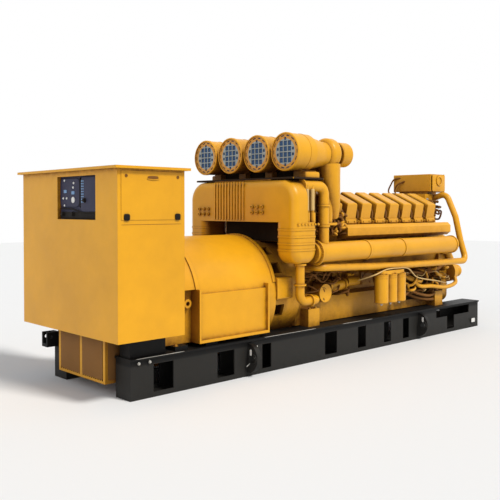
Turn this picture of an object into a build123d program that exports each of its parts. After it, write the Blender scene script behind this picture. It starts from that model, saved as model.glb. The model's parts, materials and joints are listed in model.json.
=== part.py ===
from build123d import *
from math import cos, radians, sin, sqrt
import os

# A gas engine generator on a steel skid: a 16-cylinder V engine, its generator and the control box.
# Lengths are millimetres. X runs from the control box to the engine's front, Y across, Z up.
# The near side, which carries the oil filters, is the -Y side. Z = 0 is the underside of the skid.

# Skid
skid_length = 6400.0
skid_half_width = 730.0
rail_width = 250.0
rail_height = 398.0
rail_web = 14.0
rail_flange = 20.0
flange_overhang = 20.0
cross_member_height = 200.0
cross_member_width = 150.0
cross_member_stations = [420.0, 2090.0, 3880.0, 6220.0]
window_height = 270.0
window_bottom = 50.0
window_stations = [(386.0, 241.0), (1197.0, 239.0), (1800.0, 140.0), (2900.0, 225.0),
                   (3507.0, 164.0), (4053.0, 156.0), (4477.0, 142.0), (5615.0, 193.0)]
front_slot_start = 5230.0
front_slot_length = 900.0
front_slot_height = 120.0
front_slot_rise = 240.0
lug_stations = [1540.0, 4800.0]
lug_reach = 150.0
lug_height = 320.0
lug_underside = 40.0
lug_thickness = 60.0
lug_eye_radius = 38.0
lug_eye_inset = 62.0
lug_doubler = 16.0
end_bracket_reach = 140.0
end_bracket_width = 120.0
end_bracket_rise = 100.0

# Control box at the generator's end
box_overhang = 259.0
box_length = 756.0
box_half_width = 922.0
box_bottom = 600.0
box_height = 1583.0
box_wall = 4.0
roof_overhang = 45.0
roof_thickness = 25.0
panel_width = 720.0
panel_height = 420.0
panel_low_edge = 1115.0
panel_offset = -190.0
panel_recess = 60.0
panel_thickness = 20.0
side_cover_margin = 38.0
side_cover_gap = 17.0
side_cover_height = 450.0
side_cover_proud = 4.0

# Generator
shaft_height = 830.0
frame_radius = 680.0
frame_length = 1163.0
frame_ring_width = 45.0
frame_ring_proud = 12.0
skirt_half_width = 700.0
skirt_top = 990.0
skirt_setback = 160.0
skirt_plate = 22.0
bell_length = 340.0
bell_half_width = 590.0
bell_ear_radius = 46.0
bell_ear_reach = 60.0
bell_ear_height = 850.0
foot_underside = 440.0
foot_thickness = 30.0
foot_overhang = 35.0
belly_half_width = 440.0
belly_underside = 220.0
coupling_length = 270.0
coupling_radius = 610.0
coupling_wall = 40.0
coupling_window_angle = 24.0
coupling_windows = 10
shaft_radius = 260.0
side_bracket_reach = 700.0
side_bracket_low = 784.0
side_bracket_high = 1035.0
flywheel_housing_length = 230.0
flywheel_housing_radius = 600.0

# Engine
cylinder_pitch = 300.0
cylinders_per_bank = 8
first_cylinder = 550.0
last_cylinder = 500.0
pan_top = 650.0
pan_ledge = 410.0
pan_underside = 230.0
pan_half_width = 430.0
pan_ledge_half_width = 500.0
crankcase_half_width = 430.0
crankcase_low = 760.0
crankcase_high = 1050.0
deck_outer = (570.0, 1436.0)
deck_inner = (190.0, 1610.0)
valley = (60.0, 1500.0)
head_outer = (670.0, 1660.0)
head_inner = (290.0, 1834.0)
cover_outer = (700.0, 1885.0)
cover_inner = (340.0, 2050.0)
cover_foot_outer = (660.0, 1665.0)
cover_foot_inner = (300.0, 1840.0)
head_gap = 14.0
cover_gap = 104.0
cover_edge_radius = 26.0
cover_lip = 10.0
side_cover_width = 220.0
crankcase_cover_height = 210.0
crankcase_cover_thickness = 22.0
crankcase_cover_radius = 40.0
engine_foot_length = 200.0
engine_foot_width = 130.0
engine_foot_top = 610.0

# Pipes and rails along the engine
rail_tube_offset = 760.0
rail_tube_chamfer = 42.0
seat_gap = 0.3
rail_tube_low = 1440.0
rail_tube_high = 1620.0
rail_tube_start = 680.0
rail_tube_length = 2370.0
manifold_radius = 120.0
manifold_gap = 15.0
manifold_offset = 830.0
manifold_length = 2950.0
manifold_seam_stations = [900.0, 1650.0]
manifold_seam_proud = 8.0
manifold_seam_width = 26.0
runner_radius = 45.0
coolant_pipe_radius = 45.0
coolant_pipe_offset = 850.0
coolant_pipe_bend = 110.0
coolant_pipe_low = 1129.0
coolant_pipe_front = 1049.0
coolant_pipe_reach = 185.0

# Transverse cooler housing over the generator
bridge_setback = 30.0
bridge_length = 220.0
bridge_half_width = 935.0
bridge_top = 2150.0
bridge_underside = 1665.0
bridge_shoulder = 230.0
bridge_rib_width = 20.0
bridge_rib_proud = 12.0
bridge_rib_first = -110.0
bridge_rib_pitch = 52.0
bridge_rib_number = 11
core_length = 400.0
core_half_width = 700.0
core_clearance = 30.0
pedestal_half_width = 480.0
leg_width = 310.0
leg_length = 400.0
leg_drop = 115.0
leg_bowl_radius = 150.0
leg_corner_radius = 90.0
leg_ring_drops = [95.0, 175.0, 255.0, 325.0]
leg_ring_height = 20.0
leg_ring_proud = 6.0
elbow_flange_radius = 150.0
elbow_flange_thickness = 24.0
drain_radius = 52.0
pipe_flange = 20.0
drain_offset = 820.0
drain_setback = 215.0
drain_height = 752.0
drain_bend = 90.0

# Air cleaners and turbochargers
cleaners = 4
cleaner_pitch = 470.0
cleaner_radius = 222.0
cleaner_wall = 12.0
cleaner_setback = 104.0
cleaner_drum = 330.0
cleaner_length = 648.0
cleaner_neck_radius = 150.0
grille_depth = 14.0
grille_thickness = 10.0
grille_opening = 54.0
grille_pitch = 65.0
grille_slots = 14
grille_slot_radius = 184.0
grille_slot_width = 13.0
grille_slot_length = 46.0
filter_gap = 20.0
filter_length = 120.0
cradle_thickness = 16.0
cradle_rise = 10.0
cleaner_clearance = 72.0
saddle_half_width = 60.0
saddle_setback = 215.0
saddle_length = 260.0
cradle_web_setback = 300.0
turbo_rise = 10.0
turbo_radius = 188.0
turbo_length = 180.0
dome_radius = 150.0
dome_length = 290.0
duct_radius = 75.0
duct_flare = 24.0
duct_offset = 708.0
duct_foot = 1650.0
loop_pipe_radius = 64.0
loop_pipe_clearance = 4.0
loop_collar_proud = 12.0
loop_pipe_offset = 830.0
loop_pipe_setback = 10.0
loop_pipe_bend = 100.0
turbo_stand_depth = 130.0
turbo_post_half_width = 250.0
small_tube_radius = 22.0
small_tube_offset = 880.0
small_tube_stations = [40.0, 135.0]

# Oil filters on the near side
filters = 3
filter_station = 1251.0
filter_pitch = 191.0
canister_radius = 90.0
canister_offset = 850.0
canister_underside = 602.0
canister_top = 972.0
filter_head_height = 50.0
filter_head_width = 130.0
filter_head_neck = 230.0
side_pump_station = 390.0
side_pump_height = 785.0
side_pump_radius = 112.0
side_pump_reach = 650.0
oil_cooler_length = 330.0
oil_cooler_radius = 72.0
cooler_flange = 14.0
starter_length = 240.0
starter_radius = 66.0

# Front end
front_housing_length = 230.0
front_housing_half_width = 500.0
damper_radius = 330.0
damper_length = 130.0
pump_radius = 150.0
pump_length = 260.0
pump_offset = 645.0
pump_outlet_radius = 55.0
pump_outlet_bend = 75.0
pump_height = 860.0
outlet_housing_half_width = 300.0
outlet_housing_top = 2040.0
outlet_housing_underside = 1500.0
junction_box_half_width = 340.0
junction_box_length = 350.0
junction_box_rise = 40.0
junction_box_height = 265.0
junction_lid = 20.0
junction_gland_radius = 80.0
junction_box_station = 5680.0

# Under the control box
guard_setback = 159.0
guard_length = 380.0
guard_half_width = 450.0
guard_underside = 130.0
guard_frame = 26.0
guard_sheet = 3.0
guard_slot = 22.0
guard_slot_pitch = 40.0
stand_setback = 20.0
stand_front_gap = 60.0
stand_inset = 40.0

overall_length = roof_overhang + box_overhang + skid_length
skid_rear = -overall_length / 2 + roof_overhang + box_overhang
skid_front = skid_rear + skid_length
box_rear = skid_rear - box_overhang
box_front = box_rear + box_length
box_top = box_bottom + box_height
bell_rear = box_front
frame_rear = bell_rear + bell_length
frame_front = frame_rear + frame_length
coupling_front = frame_front + coupling_length
block_rear = coupling_front + flywheel_housing_length
block_length = first_cylinder + (cylinders_per_bank - 1) * cylinder_pitch + last_cylinder
block_front = block_rear + block_length
cylinder_x = [block_rear + first_cylinder + i * cylinder_pitch for i in range(cylinders_per_bank)]
bridge_rear = frame_front + bridge_setback
bridge_front = bridge_rear + bridge_length
core_front = bridge_front + core_length
front_end = block_front + front_housing_length
manifold_height = rail_tube_low - manifold_gap - manifold_radius
leg_underside = manifold_height - leg_drop
cradle_underside = bridge_top + cradle_rise
loop_pipe_height = cradle_underside - loop_pipe_clearance - loop_collar_proud - loop_pipe_radius
cleaner_height = cradle_underside + cradle_thickness + cleaner_clearance + cleaner_radius
turbo_height = cleaner_height + turbo_rise
junction_box_underside = outlet_housing_top + junction_box_rise


def block(x0, x1, y0, y1, z0, z1):
    """A box between two corners."""
    centre = ((x0 + x1) / 2, (y0 + y1) / 2, (z0 + z1) / 2)
    return Pos(*centre) * Box(abs(x1 - x0), abs(y1 - y0), abs(z1 - z0))


def rod_x(x0, x1, y, z, radius):
    """A round bar along X."""
    return Pos((x0 + x1) / 2, y, z) * Rot(0, 90, 0) * Cylinder(radius, abs(x1 - x0))


def rod_y(y0, y1, x, z, radius):
    """A round bar along Y."""
    return Pos(x, (y0 + y1) / 2, z) * Rot(90, 0, 0) * Cylinder(radius, abs(y1 - y0))


def rod_z(z0, z1, x, y, radius):
    """A round bar along Z."""
    return Pos(x, y, (z0 + z1) / 2) * Cylinder(radius, abs(z1 - z0))


def prism(points, x0, x1):
    """A YZ outline carried along X."""
    outline = Plane.YZ.offset(x0) * make_face(Polyline(*points, close=True))
    return extrude(outline, amount=x1 - x0)


def turned_x(profile, y, z):
    """A profile of (x, radius) points turned about a line along X."""
    face = make_face(Polyline(*[(x, r) for x, r in profile], close=True))
    return Pos(0, y, z) * revolve(Plane.XY * face, axis=Axis.X)


def pipe(points, radius, bend):
    """A round pipe along straight runs joined by bends of one radius."""
    path = FilletPolyline(*points, radius=bend) if len(points) > 2 else Line(*points)
    ring = Plane(origin=path @ 0, z_dir=path % 0) * Circle(radius)
    return sweep(ring, path=path)


def near(points):
    """An outline given for +Y, turned over to the near side."""
    return [(-y, z) for y, z in points]


def far(shape):
    """The same piece on the far side."""
    return mirror(shape, about=Plane.XZ)


def save(name, *shapes):
    """Writes one node's solids."""
    solids = [s for shape in shapes for s in shape.solids()]
    export_step(Compound(children=solids) if len(solids) > 1 else solids[0], f"parts/{name}.step")


def save_pair(name, *shapes):
    """Writes a near node and its far twin."""
    save(f"{name}_near", *shapes)
    save(f"{name}_far", *[far(shape) for shape in shapes])


def save_both(name, *shapes):
    """Writes one node that holds the near pieces and their far twins."""
    save(name, *shapes, *[far(shape) for shape in shapes])


def rail():
    """One skid rail: a box beam with a wider top flange, cut by windows and a slot near the front."""
    outer, inner = -skid_half_width, -skid_half_width + rail_width
    under_flange = rail_height - rail_flange
    beam = block(skid_rear, skid_front, outer, inner, 0, under_flange)
    beam -= block(skid_rear + rail_web, skid_front - rail_web, outer + rail_web, inner - rail_web,
                  rail_web, under_flange - rail_web)
    beam += block(skid_rear, skid_front, outer - flange_overhang, inner + flange_overhang,
                  under_flange, rail_height)
    for station, width in window_stations:
        x = skid_rear + station
        beam -= block(x - width / 2, x + width / 2, outer - 1, inner + 1,
                      window_bottom, window_bottom + window_height)
    x = skid_rear + front_slot_start
    beam -= block(x, x + front_slot_length, outer - 1, outer + rail_web + 1,
                  front_slot_rise, front_slot_rise + front_slot_height)
    return beam


def lifting_lug(station):
    """A lifting plate that stands out from a rail's face: a half ellipse with a bored eye and a doubler."""
    x = skid_rear + station
    z = lug_underside + lug_height / 2
    half = Pos(-skid_half_width, z) * Ellipse(lug_reach, lug_height / 2)
    outside = Pos(-skid_half_width - lug_reach, z) * Rectangle(2 * lug_reach, lug_height)
    plate = extrude(Plane.YZ.offset(x - lug_thickness / 2) * (half & outside), amount=lug_thickness)
    eye_y = -skid_half_width - lug_reach + lug_eye_inset
    boss = rod_x(x - lug_thickness / 2 - lug_doubler, x + lug_thickness / 2 + lug_doubler, eye_y, z,
                 lug_eye_radius + 18)
    bore = rod_x(x - lug_thickness, x + lug_thickness, eye_y, z, lug_eye_radius)
    return plate + boss - bore


def generator_frame():
    """The generator's main frame: a drum on a skirt with feet, and a belly between the rails."""
    front = frame_front - skirt_setback
    body = rod_x(frame_rear, frame_front, 0, shaft_height, frame_radius)
    body -= block(frame_rear - 1, frame_front + 1, -frame_radius, frame_radius, 0, foot_underside)
    for x in (frame_rear, frame_front - frame_ring_width):
        ring = rod_x(x, x + frame_ring_width, 0, shaft_height, frame_radius + frame_ring_proud)
        body += ring - block(x - 1, x + frame_ring_width + 1, -skirt_half_width, skirt_half_width, 0, skirt_top)
    body += block(frame_rear, front, -skirt_half_width, skirt_half_width, foot_underside, skirt_top - 50)
    foot = skirt_half_width + foot_overhang
    body += block(frame_rear, front, -foot, foot, foot_underside, foot_underside + foot_thickness)
    for x in (frame_rear, front - skirt_plate):
        body += block(x, x + skirt_plate, -foot, foot, foot_underside, skirt_top)
    return body + block(frame_rear, front, -belly_half_width, belly_half_width, belly_underside, foot_underside)


def rear_bell():
    """The end bell: the drum carried back over recessed sides, on its own feet."""
    drum = rod_x(bell_rear, frame_rear, 0, shaft_height, frame_radius)
    above = block(bell_rear, frame_rear, -frame_radius, frame_radius, skirt_top, shaft_height + frame_radius)
    body = drum & above
    body += block(bell_rear, frame_rear, -bell_half_width, bell_half_width, foot_underside, skirt_top)
    ear_x = frame_rear - bell_ear_radius - 40
    for side in (-1, 1):
        inner, outer = side * bell_half_width, side * (bell_half_width + bell_ear_reach)
        ear = rod_y(min(inner, outer), max(inner, outer), ear_x, bell_ear_height, bell_ear_radius)
        body += ear - rod_y(min(inner, outer) - 1, max(inner, outer) + 1, ear_x, bell_ear_height, bell_ear_radius / 2)
    return body + block(bell_rear, frame_rear, -belly_half_width, belly_half_width,
                        belly_underside, foot_underside)


def coupling_housing():
    """The open ring between generator and engine, with windows round its upper half."""
    tube = rod_x(frame_front, coupling_front, 0, shaft_height, coupling_radius)
    tube -= rod_x(frame_front - 1, coupling_front + 1, 0, shaft_height, coupling_radius - coupling_wall)
    middle = (frame_front + coupling_front) / 2
    for i in range(coupling_windows):
        window = block(middle - coupling_length * 0.3, middle + coupling_length * 0.3, -70, 70,
                       coupling_radius - coupling_wall - 30, coupling_radius + 30)
        turn = (i - (coupling_windows - 1) / 2) * coupling_window_angle
        tube -= Pos(0, 0, shaft_height) * Rot(turn, 0, 0) * window
    return tube


def crankcase_cover(x):
    """One inspection cover on the near side of the crankcase."""
    z = (crankcase_low + crankcase_high) / 2
    plate = block(x - side_cover_width / 2, x + side_cover_width / 2,
                  -crankcase_half_width - crankcase_cover_thickness, -crankcase_half_width,
                  z - crankcase_cover_height / 2, z + crankcase_cover_height / 2)
    return fillet(plate.edges().filter_by(Axis.Y), crankcase_cover_radius)


def rocker_cover(x):
    """One rocker cover: a tapered block with rounded edges on its slanted head."""
    half = (cylinder_pitch - cover_gap) / 2
    outline = near([cover_foot_outer, cover_outer, cover_inner, cover_foot_inner])
    cover = prism(outline, x - half, x + half)
    lip_out = near([(cover_foot_outer[0] + 12, cover_foot_outer[1] + 5), (cover_foot_outer[0] + 16, cover_foot_outer[1] + 27),
                    (cover_foot_inner[0] - 8, cover_foot_inner[1] + 34), (cover_foot_inner[0] - 8, cover_foot_inner[1] + 4)])
    top = [e for e in cover.edges() if e.center().Z > cover_outer[1] - 1 and abs(e.center().Y) > cover_inner[0] - 1]
    return fillet(top, cover_edge_radius) + prism(lip_out, x - half - cover_lip, x + half + cover_lip)


def air_cleaner(y):
    """One air cleaner: a drum open to the rear, drawn in to its neck at the turbocharger."""
    x = cleaner_rear
    neck = x + cleaner_length
    outside = [(x, 0), (x, cleaner_radius - 8), (x + 8, cleaner_radius), (x + 40, cleaner_radius),
               (x + 46, cleaner_radius - 6), (x + cleaner_drum, cleaner_radius - 6),
               (x + cleaner_drum + 10, cleaner_radius - 24), (x + cleaner_length * 0.75, cleaner_neck_radius + 22),
               (x + cleaner_length * 0.9, cleaner_neck_radius), (neck, cleaner_neck_radius), (neck, 0)]
    can = turned_x(outside, y, cleaner_height)
    inside = cleaner_drum - cleaner_wall
    return can - rod_x(x - 1, x + inside, y, cleaner_height, cleaner_radius - cleaner_wall - 6)


def grille(y):
    """One grille: a disc with three by four square openings and one more on each side."""
    radius = cleaner_radius - cleaner_wall - 6
    x = cleaner_rear + grille_depth
    disc = rod_x(x, x + grille_thickness, y, cleaner_height, radius)
    places = [(c, r) for c in (-1, 0, 1) for r in (-1.5, -0.5, 0.5, 1.5)]
    places += [(0, 2.3), (0, -2.3), (-1.85, 0.5), (-1.85, -0.5), (1.85, 0.5), (1.85, -0.5)]
    for c, r in places:
        size = grille_opening if abs(r) < 2 and abs(c) < 1.5 else grille_opening * 0.6
        disc -= block(x - 1, x + grille_thickness + 1, y + c * grille_pitch - size / 2,
                      y + c * grille_pitch + size / 2, cleaner_height + r * grille_pitch - size / 2,
                      cleaner_height + r * grille_pitch + size / 2)
    for i in range(grille_slots):
        slot = block(x - 1, x + grille_thickness + 1, -grille_slot_length / 2, grille_slot_length / 2,
                     grille_slot_radius - grille_slot_width / 2, grille_slot_radius + grille_slot_width / 2)
        disc -= Pos(0, y, cleaner_height) * Rot((i + 0.5) * 360 / grille_slots, 0, 0) * slot
    return disc


near_rail = rail()
save_pair("skid_rail", near_rail)
rail_inner = skid_half_width - rail_width
save("skid_cross_members", *[
    block(skid_rear + s - cross_member_width / 2, skid_rear + s + cross_member_width / 2,
          -rail_inner, rail_inner, 0, cross_member_height)
    for s in cross_member_stations])
save_both("lifting_lugs", *[lifting_lug(s) for s in lug_stations])

bracket_y = skid_half_width + flange_overhang
bracket = block(skid_rear - end_bracket_reach, skid_rear, bracket_y - end_bracket_width, bracket_y,
                rail_height - 56, rail_height + end_bracket_rise)
bracket -= block(skid_rear - end_bracket_reach - 1, skid_rear - end_bracket_reach * 0.45,
                 bracket_y - end_bracket_width + 24, bracket_y - 24, rail_height - 20, rail_height + 200)
bracket -= rod_y(bracket_y - end_bracket_width - 1, bracket_y + 1, skid_rear - end_bracket_reach * 0.7,
                 rail_height + end_bracket_rise * 0.5, 20)
save("rear_end_bracket", bracket)

# Generator, with the coupling to the engine
generator = generator_frame()
save("generator_frame", generator)
save("generator_rear_bell", rear_bell())
pads = []
for side in (-1, 1):
    for x in (bell_rear + 60, frame_rear + 120, frame_front - skirt_setback - 280):
        pads.append(block(x, x + 160, side * 520, side * 690, rail_height, foot_underside))
save("generator_pads", *pads)
save("coupling_housing", coupling_housing())
bracket = block(frame_front, coupling_front - 20, -side_bracket_reach, -coupling_radius * 0.8,
                side_bracket_low, side_bracket_high)
bracket = fillet([e for e in bracket.edges().filter_by(Axis.X) if e.center().Y < -coupling_radius], 24)
save_both("coupling_brackets", bracket - rod_x(frame_front - 1, coupling_front + 1, 0, shaft_height, coupling_radius))
save("drive_coupling", rod_x(frame_front, coupling_front, 0, shaft_height, shaft_radius))
save("flywheel_housing", rod_x(coupling_front, block_rear, 0, shaft_height, flywheel_housing_radius))

# Engine
def head_face(z):
    """How far out the heads' outer face lies at a height."""
    return deck_outer[0] + (head_outer[0] - deck_outer[0]) * (z - deck_outer[1]) / (head_outer[1] - deck_outer[1])


half_block = [(pan_ledge_half_width, pan_top), (pan_ledge_half_width, pan_top + 70),
              (crankcase_half_width, crankcase_low), (crankcase_half_width, crankcase_high),
              (pan_ledge_half_width, 1250), deck_outer, deck_inner, valley]
engine_block = prism(half_block + near(half_block)[::-1], block_rear, block_front)
save("engine_block", engine_block)
half_pan = [(pan_half_width, pan_underside), (pan_half_width, pan_ledge),
            (pan_ledge_half_width, pan_ledge), (pan_ledge_half_width, pan_top)]
save("oil_pan", prism(half_pan + near(half_pan)[::-1], block_rear, block_front))
half_head = (cylinder_pitch - head_gap) / 2
save_pair("cylinder_heads", *[
    prism(near([deck_outer, head_outer, head_inner, deck_inner]), x - half_head, x + half_head)
    for x in cylinder_x])
save_pair("rocker_covers", *[rocker_cover(x) for x in cylinder_x])
save_both("crankcase_covers", *[crankcase_cover(x) for x in cylinder_x])
feet = []
for x in (block_rear + 100, block_front - 300):
    feet.append(block(x, x + engine_foot_length, -pan_ledge_half_width - engine_foot_width,
                      -pan_ledge_half_width, rail_height, engine_foot_top))
save_both("engine_feet", *feet)

# Rails and pipes along the banks
rail_start = block_rear + rail_tube_start
foot_line = rail_tube_low + rail_tube_chamfer / 4
rail_tube = prism(near([(head_face(foot_line) + seat_gap, foot_line), (rail_tube_offset - 60, rail_tube_low),
                        (rail_tube_offset, rail_tube_low + rail_tube_chamfer),
                        (rail_tube_offset, rail_tube_high - rail_tube_chamfer),
                        (rail_tube_offset - 45, rail_tube_high), (head_face(rail_tube_high) + seat_gap, rail_tube_high)]),
                  rail_start, rail_start + rail_tube_length)
save_pair("water_rail", rail_tube)
manifold = rod_x(block_rear, block_rear + manifold_length, -manifold_offset, manifold_height, manifold_radius)
for s in manifold_seam_stations:
    manifold += rod_x(block_rear + s, block_rear + s + manifold_seam_width, -manifold_offset, manifold_height,
                      manifold_radius + manifold_seam_proud)
for x in cylinder_x:
    runner = pipe([(x, -450, 1400), (x, -manifold_offset, manifold_height)], runner_radius, 0)
    manifold += runner - engine_block
cap_x = block_rear + manifold_length
manifold += turned_x([(cap_x - 30, 0), (cap_x - 30, manifold_radius + manifold_seam_proud),
                      (cap_x, manifold_radius + manifold_seam_proud), (cap_x, manifold_radius * 0.8),
                      (cap_x + 22, manifold_radius * 0.55), (cap_x + 22, 0)], -manifold_offset, manifold_height)
save_pair("air_manifold", manifold)

# Cooler housing over the generator, its pedestal and the two elbows
outline = Plane.YZ.offset(bridge_rear) * (
    Pos(0, (bridge_top + bridge_underside) / 2) * Rectangle(2 * bridge_half_width, bridge_top - bridge_underside))
bridge = extrude(outline, amount=bridge_length)
bridge = fillet([e for e in bridge.edges().filter_by(Axis.X) if e.center().Z > bridge_top - 1], bridge_shoulder)
bridge = fillet([e for e in bridge.edges().filter_by(Axis.Z) if e.center().X < bridge_rear + 1],
                leg_corner_radius)
bridge += block(bridge_front, core_front, -core_half_width, core_half_width,
                bridge_underside, bridge_top - core_clearance)
for y in [bridge_rib_first + i * bridge_rib_pitch for i in range(bridge_rib_number)]:
    bridge += block(bridge_rear - bridge_rib_proud, bridge_rear, y, y + bridge_rib_width,
                    bridge_underside + 20, bridge_top - 10)
save("cooler_housing", bridge)
save("cooler_pedestal", block(coupling_front, block_rear, -pedestal_half_width, pedestal_half_width,
                              shaft_height + flywheel_housing_radius, bridge_underside))
leg_outer = -bridge_half_width
leg_front = bridge_rear + leg_length
leg = block(bridge_rear, leg_front, leg_outer, leg_outer + leg_width, leg_underside, bridge_underside)
leg = fillet([e for e in leg.edges().filter_by(Axis.Y) if e.center().Z < leg_underside + 1], leg_bowl_radius)
leg = fillet([e for e in leg.edges().filter_by(Axis.Z)], leg_corner_radius)
for z in [bridge_underside - drop for drop in leg_ring_drops]:
    ring = block(bridge_rear - leg_ring_proud, leg_front + leg_ring_proud, leg_outer - leg_ring_proud,
                 leg_outer + leg_width + leg_ring_proud, z, z + leg_ring_height)
    leg += fillet(ring.edges().filter_by(Axis.Z), leg_corner_radius + leg_ring_proud)
leg += rod_x(leg_front, block_rear, -manifold_offset, manifold_height, manifold_radius)
leg += rod_x(block_rear - elbow_flange_thickness, block_rear, -manifold_offset, manifold_height,
             elbow_flange_radius)
save_pair("cooler_elbow", leg)
drain_x = bridge_rear + drain_setback
drain = pipe([(drain_x, -drain_offset, leg_underside), (drain_x, -drain_offset, drain_height),
              (block_rear + 60, -drain_offset, drain_height),
              (block_rear + 60, -crankcase_half_width, drain_height)], drain_radius, drain_bend)
for z in (leg_underside - pipe_flange, leg_underside - leg_drop * 2.2):
    drain += rod_z(z, z + pipe_flange, drain_x, -drain_offset, drain_radius + pipe_flange)
drain += rod_x(block_rear - 90, block_rear - 90 + pipe_flange, -drain_offset, drain_height, drain_radius + pipe_flange)
save("elbow_drain_pipe", drain - engine_block)

# Air cleaners on their cradle, and the turbochargers behind them
cleaner_rear = bridge_rear + cleaner_setback - bridge_setback
cleaner_y = [(i - (cleaners - 1) / 2) * cleaner_pitch for i in range(cleaners)]
save("air_cleaners", *[air_cleaner(y) for y in cleaner_y])
save("air_cleaner_grilles", *[grille(y) for y in cleaner_y])
filter_rear = cleaner_rear + grille_depth + grille_thickness
inside_radius = cleaner_radius - cleaner_wall - 6
save("filter_elements", *[
    rod_x(filter_rear, filter_rear + filter_length, y, cleaner_height, inside_radius) for y in cleaner_y])
saddle_rear = cleaner_rear + saddle_setback
cradle = block(bridge_rear + 60, core_front - 40, -860, 860, cradle_underside, cradle_underside + cradle_thickness)
for y in cleaner_y:
    saddle = block(saddle_rear, saddle_rear + saddle_length, y - saddle_half_width, y + saddle_half_width,
                   cradle_underside + cradle_thickness, cleaner_height)
    cradle += saddle - rod_x(cleaner_rear, cleaner_rear + cleaner_length, y, cleaner_height, cleaner_radius - 6)
web_x = cleaner_rear + cradle_web_setback
web = block(web_x, web_x + cradle_thickness, cleaner_y[0], cleaner_y[-1], cradle_underside, cleaner_height - 80)
for y in cleaner_y:
    web -= rod_x(cleaner_rear, cleaner_rear + cleaner_length, y, cleaner_height, cleaner_radius - 6)
cradle += web
cradle += block(bridge_rear + 60, bridge_front, -500, 500, bridge_top, cradle_underside)
save("air_cleaner_cradle", cradle)
turbo_rear = cleaner_rear + cleaner_length
turbo_front = turbo_rear + turbo_length
turbos = []
for y in cleaner_y:
    volute = fillet(rod_x(turbo_rear, turbo_front, y, turbo_height, turbo_radius).edges(), 60)
    dome = turned_x([(turbo_front - 10, 0), (turbo_front - 10, 90), (turbo_front + 60, 90),
                     (turbo_front + 70, dome_radius), (turbo_front + dome_length - 60, dome_radius),
                     (turbo_front + dome_length - 15, dome_radius - 40), (turbo_front + dome_length, 0)],
                    y, turbo_height)
    turbos.append(volute + dome)
save("turbochargers", *turbos)

# Stand that carries the turbochargers over the end of the engine block, and the pipes beside it
stand_rear = turbo_rear + 20
stand_front = turbo_front - 50
stand_top = turbo_height - turbo_radius
column_top = stand_top - turbo_stand_depth
stand = block(stand_rear, stand_front, -cleaner_y[-1] - 90, cleaner_y[-1] + 90, column_top, stand_top + 60)
for y in cleaner_y:
    stand -= rod_x(turbo_rear - 1, turbo_front + 1, y, turbo_height, turbo_radius)
stand += block(core_front, stand_front, -turbo_post_half_width, turbo_post_half_width, valley[1], column_top)
save("turbocharger_stand", stand - engine_block)
duct_x = (stand_rear + stand_front) / 2
duct_base = block(duct_x - duct_radius, duct_x + duct_radius, -duct_offset - 90, -duct_offset + 90,
                  rail_tube_high, duct_foot)
duct = loft([Plane.XY.offset(duct_foot) * (Pos(duct_x, -duct_offset) * Circle(duct_radius)),
             Plane.XY.offset(column_top) * (Pos(duct_x, -duct_offset) * Circle(duct_radius + duct_flare))])
save_both("charge_air_ducts", duct + duct_base)
loop_front = core_front - loop_pipe_setback
loop = pipe([(bridge_front, -loop_pipe_offset, loop_pipe_height), (loop_front, -loop_pipe_offset, loop_pipe_height),
             (loop_front, -loop_pipe_offset, manifold_height)], loop_pipe_radius, loop_pipe_bend)
loop -= rod_x(block_rear, block_rear + manifold_length, -manifold_offset, manifold_height, manifold_radius)
loop += rod_x(bridge_front, bridge_front + pipe_flange, -loop_pipe_offset, loop_pipe_height,
              loop_pipe_radius + loop_collar_proud)
for z in (bridge_underside - 60, bridge_underside + 180):
    loop += rod_z(z, z + pipe_flange, loop_front, -loop_pipe_offset, loop_pipe_radius + loop_collar_proud)
for s in small_tube_stations:
    loop += rod_z(bridge_underside, bridge_underside + 110, bridge_front + s, -small_tube_offset,
                  small_tube_radius + 14)
    loop += rod_z(bridge_underside, loop_pipe_height, bridge_front + s, -small_tube_offset, small_tube_radius)
save_both("cooler_pipes", loop)

# Coolant pipes along the engine and up to the water outlet
for_side = -coolant_pipe_offset
corner_x = block_front + coolant_pipe_reach
coolant = pipe([(block_rear + 60, -crankcase_half_width, coolant_pipe_low), (block_rear + 60, for_side, coolant_pipe_low),
                (block_rear + 1475, for_side, coolant_pipe_low - 54), (corner_x, for_side, coolant_pipe_front),
                (corner_x, -755, 1344), (corner_x, -670, 1700), (corner_x, -510, outlet_housing_top + 10),
                (corner_x, -outlet_housing_half_width, outlet_housing_top - 60)],
               coolant_pipe_radius, coolant_pipe_bend)
outlet_housing = block(block_front - 60, front_end, -outlet_housing_half_width, outlet_housing_half_width,
                       deck_outer[1] + 200, outlet_housing_top)
outlet_housing += block(block_front, front_end, -outlet_housing_half_width, outlet_housing_half_width,
                        deck_outer[1], deck_outer[1] + 201)
save("water_outlet", outlet_housing)
save_pair("coolant_pipe", coolant - outlet_housing - engine_block)

# Oil filters, their head and the pump cover on the near side
filter_x = [block_rear + filter_station + i * filter_pitch for i in range(filters)]
save("oil_filters", *[
    fillet(rod_z(canister_underside, canister_top, x, -canister_offset, canister_radius).edges()
           .sort_by(Axis.Z)[0:1], 20) for x in filter_x])
head_rear = filter_x[0] - filter_head_width / 2
head_front = filter_x[-1] + filter_head_width / 2
filter_head = block(head_rear, head_front, -canister_offset - filter_head_width / 2,
                    -canister_offset + filter_head_width / 2, canister_top, canister_top + filter_head_height)
filter_head = fillet(filter_head.edges().filter_by(Axis.Z), filter_head_width / 2 - 6)
neck_x = (filter_x[0] + filter_x[-1]) / 2
filter_head += block(neck_x - filter_head_neck / 2, neck_x + filter_head_neck / 2, -canister_offset,
                     -crankcase_half_width - crankcase_cover_thickness, canister_top,
                     canister_top + filter_head_height)
save("oil_filter_head", filter_head)
pump_x = block_rear + side_pump_station
save("side_pump", rod_y(-side_pump_reach, -pan_ledge_half_width, pump_x, side_pump_height, side_pump_radius)
     - prism(near(half_block), block_rear, block_front))

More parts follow.
